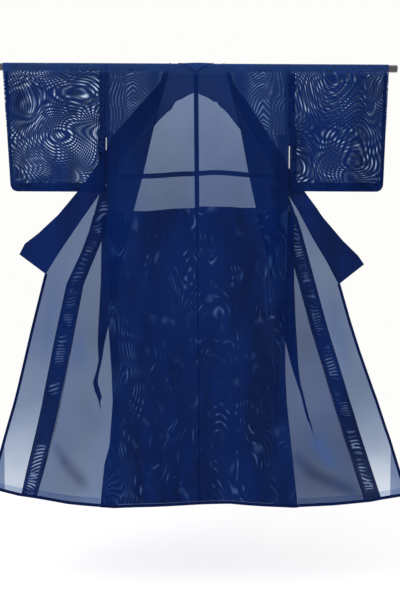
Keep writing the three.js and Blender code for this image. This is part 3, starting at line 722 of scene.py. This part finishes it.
# ---- overlap panels and collar ----
def overlap_depth(side, x, z):
    """With the front's last leg, and past the sleeve's slit at the collar end's own depth."""
    layer = hang_depth(1, z) + front_section(side, z)[-1][1]
    past = smooth((abs(x) - SLIT_IN) / (SLIT_OUT - SLIT_IN))
    past *= smooth((z - SLIT_CLEAR + SLIT_BLEND) / SLIT_BLEND)
    return lerp(layer, COLLAR_DEPTH[side], past) + sway(x, z)


def overlap_edge(side, z):
    return look_up(OVERLAP[side], z)


def overlap_point(side, reach, z, lift=0.0):
    x = side * reach
    return x, overlap_depth(side, x, z) + lift, on_hem_curve(x, z)


def seam_reach(side, z):
    """The overlap's seam from the middle."""
    return look_up(FRONT[side], z, 6)


def make_overlap(name, side):
    levels = sorted({*steps(-150, HEM_LEVEL, 130), *(row[0] for row in OVERLAP[side])}, reverse=True)
    rows = []
    for z in levels:
        seam, edge = seam_reach(side, z) - 1, overlap_edge(side, z)
        rows.append([overlap_point(side, lerp(seam, edge, u), z, SEAM_HIDE * (1 - u))
                     for u in steps(0, 1, 22)])
    return cloth("overlap_panel_" + name, [rows], "overlap", ["overlap_" + name],
                 {"painted_backlight": backlight_field(1), "crease": crease_field})


BAND_AT = {  # the allowance's two edges, from the seam: level, inner, outer
    -1: [(-400, 2, 76), (-488, 2, 64), (-557, 2, 54), (-626, 2, 51), (-736, 2, 57), (-968, 3, 63),
         (-1240, 4, 63), (-1400, 2, 57), (-1500, 0, 51)],
    1: [(-400, 2, 60), (-488, 2, 56), (-557, 2, 55), (-968, 3, 58), (-1240, 3, 59), (-1500, 2, 56)],
}


def make_overlap_seam(name, side):
    """The seam's allowance, lying on the overlap."""
    rows = []
    for z in steps(-400, HEM_LEVEL, 92):
        seam, inner, outer = seam_reach(side, z), look_up(BAND_AT[side], z), look_up(BAND_AT[side], z, 2)
        rows.append([(*overlap_point(side, seam + lerp(inner, outer, u), z, FLAP_STEP), u)
                     for u in steps(0, 1, 6)])
    return cloth("overlap_allowance_" + name, [rows], "band", ["overlap_seam_" + name],
                 {"across": lambda p: p[3]})


def roll(name, path, width, thick, look="rolled"):
    """A rolled or folded edge: a flattened tube along a path of (x, y, z)."""
    rows = []
    ring = [(cos(a), sin(a)) for a in steps(0, TURN, 8)]
    for i, (x, y, z) in enumerate(path):
        before, after = path[max(i - 1, 0)], path[min(i + 1, len(path) - 1)]
        along = (after[0] - before[0], after[2] - before[2])
        size = hypot(*along) or 1.0
        out_x, out_z = along[1] / size * width / 2, -along[0] / size * width / 2
        rows.append([(x + out_x * c, y + s * thick / 2, z + out_z * c) for c, s in ring])
    return cloth(name, [rows], look)


STITCH_LIFT = -0.8


def make_stitches(name, path, length, gap, width):
    """Running stitches: short flat threads along a path, a little in front of it."""
    grids, walked = [], 0.0
    for a, b in zip(path, path[1:]):
        span = dist(a, b)
        out = ((b[2] - a[2]) / span * width / 2, -(b[0] - a[0]) / span * width / 2)
        while walked < span:
            near, far = walked / span, min(walked + length, span) / span
            grids.append([[(lerp(a[0], b[0], t) + out[0] * w, lerp(a[1], b[1], t) + STITCH_LIFT,
                            lerp(a[2], b[2], t) + out[1] * w) for w in (-1, 1)] for t in (near, far)])
            walked += length + gap
        walked -= span
    return cloth(name, grids, "rolled")


COLLAR_IN = 7  # how far the collar laps over the overlap


def make_collar(name, side):
    """The collar beside the neck and its end, flat, sewn to the overlap."""
    rows = []
    for low, high in zip(COLLAR[side], COLLAR[side][1:]):
        last = high is COLLAR[side][-1]
        for i in range(9 if last else 8):
            seam_x, seam_z, free_x, free_z = (lerp(a, b, i / 8) for a, b in zip(low, high))
            across = hypot(free_x - seam_x, free_z - seam_z)
            row = []
            for u in steps(-COLLAR_IN / across, 1, 18):
                x, z = side * lerp(seam_x, free_x, u), lerp(seam_z, free_z, u)
                row.append((x, overlap_depth(side, x, z) - SEAM_HIDE, z))
            rows.append(row)
    return cloth("collar_band_" + name, [rows], "collar", ["collar_" + name])


NECK_OUT = 5  # past the fronts' creases
NECK_STEPS = 60
NECK_LIFTS = [  # u from the left crease to the right, and how far the folded edge lies above NECK_ARCH there
    (-1, 0), (-0.9, 8), (-0.74, 9), (-0.68, 4), (-0.6, 19), (-0.48, 11), (-0.3, 8), (-0.02, 9), (0.04, 0),
    (0.44, 0), (0.5, 7), (0.58, 0), (0.68, 6), (0.78, 4), (0.88, -4), (0.95, -9), (1, -9),
]
NECK_ARCH_REACH = 147  # NECK_ARCH's outer end
NECK_RISE, NECK_RISE_WIDE = 3.0, 50  # the collar stands this much off the rod in the middle


def neck_arch(u):
    """The collar's folded edge down the front; u from -1 at the left crease to 1."""
    return look_up(NECK_ARCH, abs(u) * NECK_ARCH_REACH) + look_up(NECK_LIFTS, u)


def neck_reach(u, z):
    """The collar's x down the front: it laps over the fronts' creases."""
    return u * (look_up(FRONT[side_of(u)], z, 5) + NECK_OUT)


def make_neck_collar():
    """The collar behind the neck: from the back's V, over the rod, to its folded edge in front."""
    columns = []
    for u in steps(-1, 1, NECK_STEPS):
        arch = neck_arch(u)
        start = -max(1.0, (QUARTER + NECK_DROP) * (1 - abs(u)) + 2)
        lengths = steps(start, 0, 18) + steps(0, QUARTER, 10)[1:]
        lengths += steps(QUARTER, QUARTER - arch, 18)[1:]
        column = []
        for length in lengths:
            level = RIDGE_LEVEL if length < QUARTER - 1 else QUARTER - length
            x = lerp(centre_seam(0) + u * NECK_HALF, neck_reach(u, level), smooth((length - 2) / 12))
            face = 1 if length >= 0 else -1
            lift = -SEAM_HIDE if abs(length) > QUARTER else 0.3
            lift += NECK_RISE * exp(-(x / NECK_RISE_WIDE) ** 2) * smooth(1 - abs(length) / QUARTER)
            y, z = drape_point(face, abs(length), lift)
            column.append((x, y, z))
        columns.append(column)
    rows = [[column[i] for column in columns] for i in range(len(columns[0]))]
    return cloth("collar_neck_band", [rows], "neck", ["collar_neck"])


def make_neck_edges():
    """The collar's folded lower edge, an arch, and its edge along the V."""
    arch = []
    for u in steps(-1, 1, NECK_STEPS):
        z = neck_arch(u)
        arch.append((neck_reach(u, z), hang_depth(1, z) - SEAM_HIDE, z))
    vee = []
    for u in steps(-1, 1, 24):
        x = centre_seam(0) + u * NECK_HALF
        y, z = drape_point(-1, max(1.0, neck_cut(x)), 0.8)
        vee.append((x, y, z))
    return [roll("collar_neck_fold", arch, 3.2, 1.2), roll("neckline_seam", vee, 2.4, 1.0)]


# ---- sleeves: one length of cloth each, over the rod and down both sides ----
def sleeve_depth(size, x, z):
    """Half the sleeve's thickness: it closes up at its bottom and outer edge, below the cuff."""
    reach = abs(x)
    edge = lerp(size["top"], size["low"], z / size["bottom"])
    belly = lerp(DRAPE_RADIUS, SLEEVE_BELLY, smooth(-z / SLEEVE_CLOSES["belly"]))
    bottom_seam = smooth((z - size["bottom"]) / SLEEVE_CLOSES["bottom"])
    outer_seam = max(smooth((edge - reach) / SLEEVE_CLOSES["outer"]),
                     smooth((z - CUFF_BOTTOM) / SLEEVE_CLOSES["cuff"]))
    return lerp(SLEEVE_PINCH, belly, bottom_seam * outer_seam)


def sleeve_point(side, u, length, inset=0.0):
    """u from the armhole to the cuff; length runs from the ridge, negative down the back."""
    size = SLEEVE[side]
    face = -1 if length < 0 else 1
    far = abs(length)
    level = max(size["bottom"], QUARTER - far) if far > QUARTER else 0.0
    inner = lerp(size["armhole"], size["slit"], smooth((size["slit_from"] - level) / 14))
    outer = lerp(size["top"], size["low"], level / size["bottom"])
    reach = lerp(inner, outer, u)
    if far < QUARTER:
        y, z = drape_point(face, far, -inset)
        return side * reach, y, z
    past = max(0.0, SLEEVE_CORNER - (outer - reach))
    lift = SLEEVE_CORNER - sqrt(max(0.0, SLEEVE_CORNER**2 - past**2))
    z = level + lift * smooth((size["slit_from"] - level) / (size["slit_from"] - size["bottom"]))
    depth = sleeve_depth(size, reach, z)
    free = smooth((depth - SLEEVE_PINCH) / 3)
    return side * reach, face * (depth - inset) + crease_depth(side * reach, z) * free, z


def make_sleeve(name, side):
    """One sheet, up the back wall, over the rod and down the front wall."""
    size = SLEEVE[side]
    down = QUARTER - size["bottom"]
    lengths = steps(-down, -QUARTER, 44) + steps(-QUARTER, QUARTER, 16)[1:]
    lengths += steps(QUARTER, down, 44)[1:]
    across = [0, 0.03, 0.06, *steps(0.09, 0.9, 26), 0.92, 0.94, 0.955, 0.97, 0.985, 1]
    rows = [[sleeve_point(side, u, length) for u in across] for length in lengths]
    nodes = [f"sleeve_{name}_back", f"sleeve_{name}_front"]
    return cloth("sleeve_cloth_" + name, [rows], "sleeve", nodes)


ALLOWANCE = {"bottom": 30, "inner": 22, "outer": 14, "below_rod": 14}


def make_sleeve_allowances(name, side):
    """The sleeve's turned-in edges, between its walls: inner, bottom and outer."""
    size = SLEEVE[side]
    width = size["top"] - size["armhole"]
    down = QUARTER - size["bottom"]
    low = down - ALLOWANCE["bottom"]

    def middle(u, length):
        x, _y, z = sleeve_point(side, u, length)
        return x, crease_depth(x, z) * 0.5, z

    upright = steps(QUARTER + ALLOWANCE["below_rod"], down - 1, 30)
    grids = [[[middle(u, length) for u in across] for length in lengths] for across, lengths in (
        (steps(0.002, ALLOWANCE["inner"] / width, 3), upright),
        (steps(0.004, 0.996, 30), steps(low, down - 0.3, 4)),
        (steps(1 - ALLOWANCE["outer"] / width, 0.997, 3), upright))]
    return cloth("sleeve_allowances_" + name, grids, "layered")


ARMHOLE_END = {-1: -236, 1: -262}  # the armhole seam's lower end
ARMHOLE_SEAM = {"body": 11, "sleeve": 10, "fold": 1.5}  # its allowances, and where they turn
SLEEVE_WIDTH = 345


def make_armhole(name, side):
    """The armhole seam: allowances under both edges, from the back over the rod to the front."""
    end = QUARTER - ARMHOLE_END[side]
    on_body, on_sleeve, fold = (side * ARMHOLE_SEAM[part] for part in ("body", "sleeve", "fold"))
    rows = []
    for length in steps(-end, end, 80):
        sx, sy, sz = sleeve_point(side, 0.0, length, 0.5)
        face = -1 if length < 0 else 1
        body_x = side * look_up(SIDE[side], sz)
        y, z = drape_point(face, abs(length), -0.6)
        middle = (body_x + sx) / 2
        under_sleeve = sleeve_point(side, ARMHOLE_SEAM["sleeve"] / SLEEVE_WIDTH, length, 0.5)
        rows.append([
            (body_x - on_body, y, z), (body_x - fold, y, z),
            (middle, (y + sy) / 2 - face * 0.7, (z + sz) / 2),
            (sx + fold, sy, sz), (sx + on_sleeve, *under_sleeve[1:]),
        ])
    line = [(x, y - 0.8 if y < 0 else y + 0.8, z) for x, y, z in (row[2] for row in rows)]
    return [cloth("armhole_seam_" + name, [rows], "seam"),
            roll("armhole_line_" + name, line, 4.4, 1.0)]


# ---- edges, seams and stitches ----
HEM_ROLL = 11
HEM_TURN = 31  # the turned-up cloth reaches this far above the hem
TURN_GAP = 0.9  # and lies this far behind its panel


def hem_points(layer, reach_from, reach_to, rise):
    """Points along the hem of one layer, rise above its edge; layer(reach, z) is a point of it."""
    return [layer(reach, HEM_LEVEL + rise) for reach in steps(reach_from, reach_to, 40)]


def make_hem(name, side):
    """The rolled hem of every panel, and the turned-up cloth above it."""
    side_reach = look_up(SIDE[side], HEM_LEVEL)
    seam, edge = seam_reach(side, HEM_LEVEL), overlap_edge(side, HEM_LEVEL)
    depths = [(x, d) for x, d, _leg in front_section(side, HEM_LEVEL)]

    def on_back(reach, z):
        return behind_back(side * reach + (centre_seam(z) if reach < 1 else 0), z, 0)

    def on_front(reach, z):
        return front_point(side, reach, look_up(depths, reach), z)

    pieces = []
    for layer, start, end, label in ((on_back, 0, side_reach, "back"),
                                     (on_front, side_reach + 1, seam, "front"),
                                     (partial(overlap_point, side), seam, edge, "overlap")):
        pieces.append(roll(f"hem_{label}_{name}", hem_points(layer, start, end, HEM_ROLL / 2), HEM_ROLL, 1.6))
        if label != "back":
            rows = [[(x, y + TURN_GAP, z) for x, y, z in hem_points(layer, start, end, rise)]
                    for rise in (2, 16, HEM_TURN)]
            pieces.append(cloth(f"hem_turn_{label}_{name}", [rows], "turn"))
    return pieces


EDGE_ROLL = 10
CORNER_TURN = {-1: (-1296, 664), 1: (-1284, 674)}  # top and inner edge of the turned lower corner


def make_front_edge(name, side):
    """The overlap's rolled free edge, from the collar's end to the hem, and its turned lower corner."""
    top = COLLAR[side][-1][1] - 3
    path = [overlap_point(side, overlap_edge(side, z) - EDGE_ROLL / 2, z) for z in steps(top, HEM_LEVEL, 60)]
    corner_top, inner = CORNER_TURN[side]
    rows = [[overlap_point(side, lerp(inner, overlap_edge(side, z) - 2, u), z, TURN_GAP)
             for u in steps(0, 1, 4)]
            for z in steps(corner_top, HEM_LEVEL + 3, 16)]
    return [roll("front_edge_" + name, path, EDGE_ROLL, 1.8),
            cloth("corner_turn_" + name, [rows], "corner")]


def make_seam_lines(name, side):
    """The overlap's seam with its stitches, its allowance's edges, and the side seam's fold, which carries a
    painted highlight in a brighter navy.
    """
    levels = steps(-500, HEM_LEVEL + 4, 70)
    seam = [overlap_point(side, seam_reach(side, z), z) for z in levels]
    inner, outer = ([overlap_point(side, seam_reach(side, z) + look_up(BAND_AT[side], z, c), z)
                     for z in levels] for c in (1, 2))
    fold = []
    for z in steps(SIDE_SLIT["to"] - 6, HEM_LEVEL + 6, 90):
        x = side * (look_up(SIDE[side], z) - 1.5)
        fold.append((x, (BACK_DEPTH + FRONT_DEPTH) / 2 + sway(x, z), on_hem_curve(x, z)))
    return [
        roll("overlap_seam_line_" + name, seam, 1.8, 0.9),
        roll("overlap_inner_line_" + name, inner, 2.6, 1.2),
        make_stitches("overlap_stitches_" + name, seam, 9, 4, 2.8),
        roll("overlap_outer_line_" + name, outer, 2.6, 1.2),
        # the side fold carries a painted highlight
        roll("side_fold_" + name, fold, 3.0, abs(BACK_DEPTH - FRONT_DEPTH) + 0.8, "edge_lit"),
    ]


SLIT_EDGE = {-1: (9.0, 3.0), 1: (4.0, 1.6)}  # widths of the sleeve's and the body's edge


def make_slit_edges(name, side):
    """The finished edges on both sides of the opening under the arm."""
    size = SLEEVE[side]
    top, bottom = ARMHOLE_END[side] + 8, size["bottom"]
    sleeve = [sleeve_point(side, -0.008, z - QUARTER) for z in steps(top, bottom + 1, 30)]
    body = [(side * (look_up(SIDE[side], z) + 0.5), hang_depth(-1, z) + 0.3, z)
            for z in steps(top, bottom, 30)]
    wide, narrow = SLIT_EDGE[side]
    return [roll("sleeve_slit_edge_" + name, sleeve, wide, 1.6),
            roll("body_slit_edge_" + name, body, narrow, 1.4)]


def make_centre_line():
    path = [behind_back(centre_seam(z), z, -0.1) for z in steps(-30, HEM_LEVEL + 8, 100)]
    return roll("centre_seam_line", path, 2.2, 1.0)


# ---- rod ----
ROD_LENGTH = 1350
ROD_CHAMFER = 1.5
ROD_FACES = 48


def make_rod():
    """A turned rod with chamfered ends, in dark lacquer over faint grain."""
    n = Nodes("rod_lacquer")
    grain_lines = n.noise(220.0, 4.0, (0.05, 1, 1))
    tone = n.colours(grain_lines, (0.02, 0.018, 0.024, 1), (0.05, 0.045, 0.055, 1))
    relief = n.add("Bump", Strength=0.15, Distance=0.0004, Height=grain_lines).outputs["Normal"]
    lacquer = n.add("BsdfPrincipled", Base_Color=tone, Roughness=0.35, Coat_Weight=0.3, Normal=relief)
    M["rod"] = n.finish(lacquer.outputs[0])
    half = ROD_LENGTH / 2
    profile = [(-half, 0.01), (-half, ROD_RADIUS - ROD_CHAMFER), (-half + ROD_CHAMFER, ROD_RADIUS)]
    profile += [(-x, r) for x, r in reversed(profile)]
    rows = [[(x, r * cos(a), r * sin(a)) for a in steps(0, TURN, ROD_FACES)] for x, r in profile]
    turned = cloth("rod_turned", [rows], "rod", ["rod"])
    # only the middle one of its five bands, the long face, is smooth
    turned.data.polygons.foreach_set("use_smooth", [i // ROD_FACES == 2 for i in range(5 * ROD_FACES)])
    return turned


rod = make_rod()
for name, side in SIDES.items():
    back = make_back(name, side)
    front = make_front(name, side)
    overlap = make_overlap(name, side)
    allowance = make_overlap_seam(name, side)
    collar = make_collar(name, side)
    tuck = make_tuck(name, side)
    lining = make_lining(name, side)
    side_seam = make_side_allowance(name, side)
    sleeve = make_sleeve(name, side)
    sleeve_turned = make_sleeve_allowances(name, side)
    armhole = make_armhole(name, side)
    hem_back, hem_front, turn_front, hem_overlap, turn_overlap = make_hem(name, side)
    front_edge = make_front_edge(name, side)
    seam_line, inner_line, stitches, outer_line, side_fold = make_seam_lines(name, side)
    sleeve_edge, body_edge = make_slit_edges(name, side)
    if side < 0:
        binding = make_binding()
        make_centre_line()
neck = make_neck_collar()
make_neck_edges()

# ---- floor, light and camera ----
FLOOR_LEVEL = -1850
bpy.ops.mesh.primitive_plane_add(size=1, location=(0, -0.75, FLOOR_LEVEL * MM))
floor = bpy.context.object
floor.name = "floor"
floor.scale = (6.0, 4.4, 1)
floor.data.materials.append(thread("floor_pale", (0.93, 0.925, 0.95, 1), 0.9))

world = bpy.data.worlds.new("pale_room")
world.use_nodes = True
backdrop = world.node_tree.nodes["Background"].inputs
backdrop["Color"].default_value = (0.985, 0.98, 0.96, 1)
backdrop["Strength"].default_value = 1.0
scene = bpy.context.scene
scene.world = world
scene.view_settings.view_transform = "Standard"
scene.cycles.transparent_max_bounces = 24


def area_light(name, place, aim, size, power):
    light = bpy.data.lights.new(name, "AREA")
    light.energy = power
    light.size = size
    lamp = bpy.data.objects.new(name, light)
    lamp.location = place
    lamp.rotation_euler = (Vector(aim) - Vector(place)).to_track_quat("-Z", "Y").to_euler()
    link(lamp)


area_light("key", (-1.6, -2.6, 1.4), (0, 0, -0.7), 1.6, 30)
area_light("floor_fill", (0, 0.7, 0.9), (0, 0.4, -1.8), 2.6, 16)

CAMERA_DISTANCE = 3.0
CAMERA_PLACE = (0.010, -CAMERA_DISTANCE, -0.653)
CAMERA_PITCH = radians(2.6)
CAMERA_ROLL = radians(0.3)
FRAME_HEIGHT_PX = 600
PIXEL = 3.433 * MM  # size of a pixel at the garment
SENSOR = 36
camera_data = bpy.data.cameras.new("camera")
camera_data.sensor_width = SENSOR
camera_data.lens = SENSOR * (CAMERA_DISTANCE / PIXEL) / FRAME_HEIGHT_PX
camera = bpy.data.objects.new("camera", camera_data)
camera.location = CAMERA_PLACE
camera.rotation_mode = "QUATERNION"
camera.rotation_quaternion = (
    Matrix.Rotation(pi / 2 - CAMERA_PITCH, 3, "X") @ Matrix.Rotation(CAMERA_ROLL, 3, "Z")
).to_quaternion()
link(camera)
scene.camera = camera
